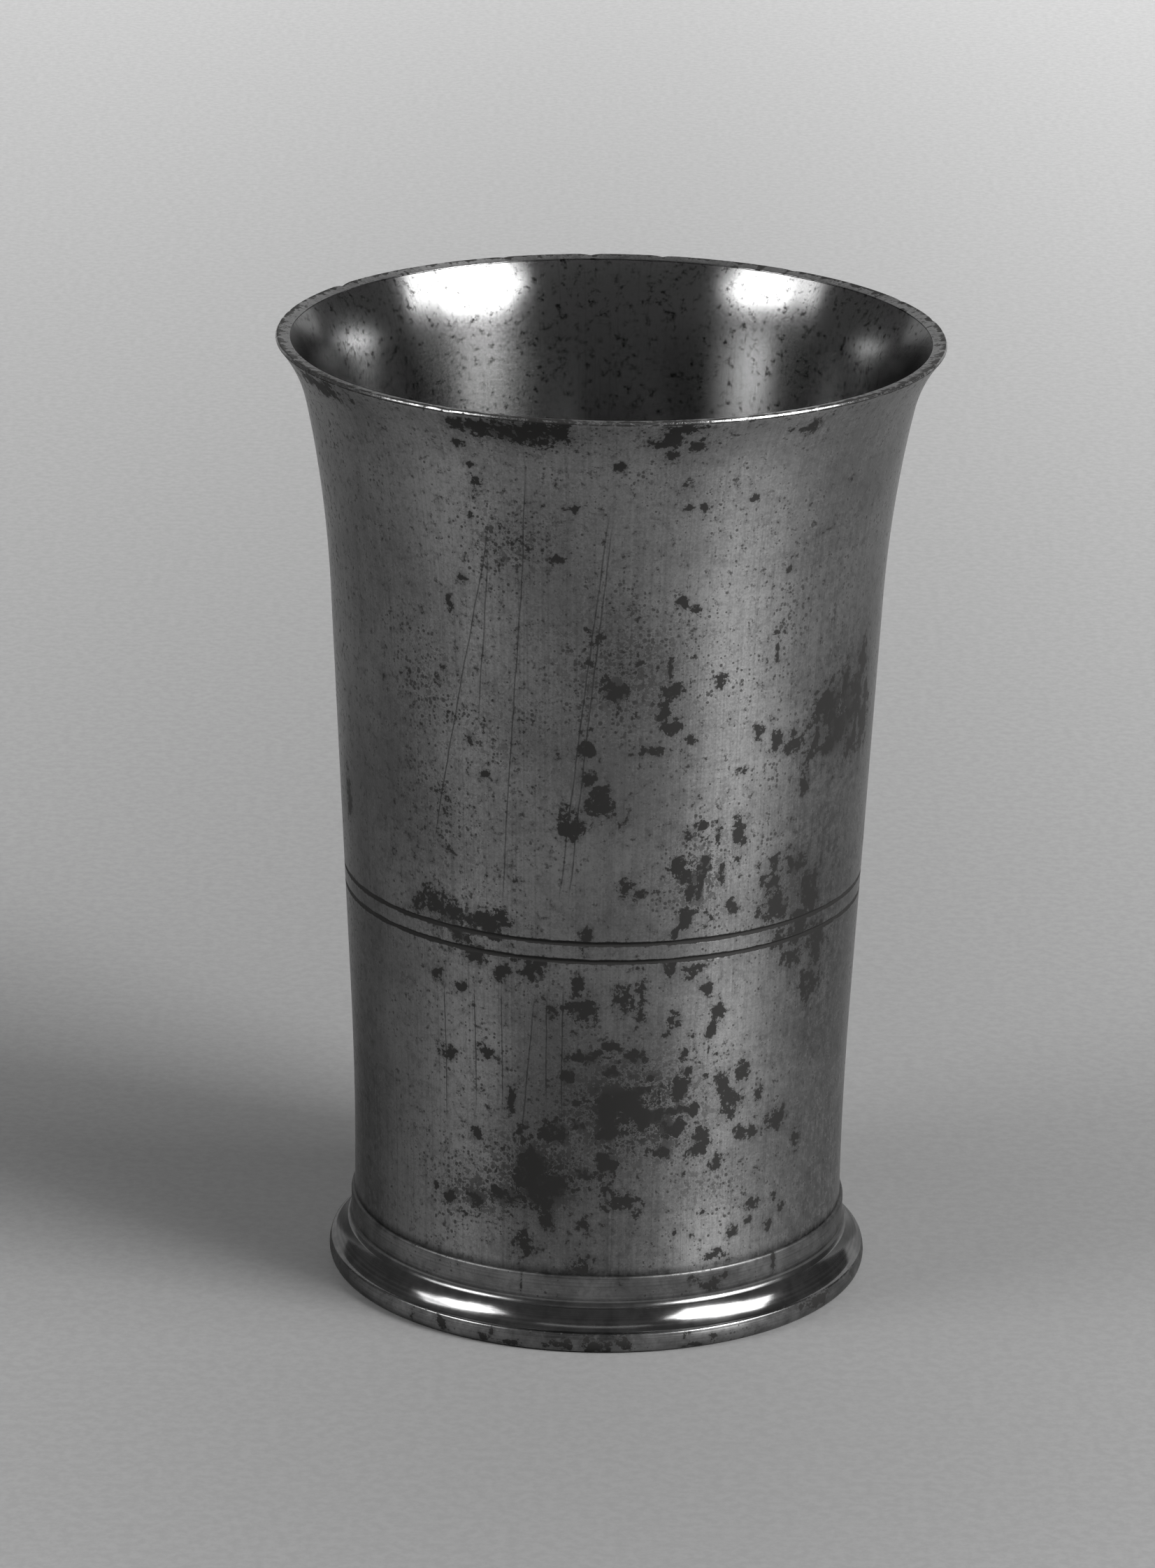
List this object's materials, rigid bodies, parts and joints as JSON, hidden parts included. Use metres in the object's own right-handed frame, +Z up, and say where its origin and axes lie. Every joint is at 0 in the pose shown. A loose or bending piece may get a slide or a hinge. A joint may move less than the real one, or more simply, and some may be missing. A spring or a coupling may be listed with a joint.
{
  "type": "beaker",
  "caption": "Tall flared pewter drinking beaker on a moulded foot ring, with lines turned round its side.",
  "frame": {"origin": "centre of the flat ring under the foot, on the surface that the beaker stands on", "axes": "+Z up along the beaker's axis, towards its lip; +X and +Y are any two square directions, since the beaker is round"},
  "size_m": [0.0884, 0.0884, 0.13],
  "materials": {
    "body_pewter": "old pewter, softly polished outside, speckled and spotted with dark corrosion",
    "foot_pewter": "old pewter, turned and rubbed brighter on the edges of the moulding",
    "floor_pewter": "old pewter, dull and dark",
    "solder": "soft solder, smooth and a little brighter than the pewter"
  },
  "bodies": {
    "root": {"body": "body_pewter", "foot_ring": "foot_pewter", "floor_plate": "floor_pewter", "seam_solder": "solder", "inside_solder": "solder", "under_solder": "solder"}
  },
  "joints": []
}
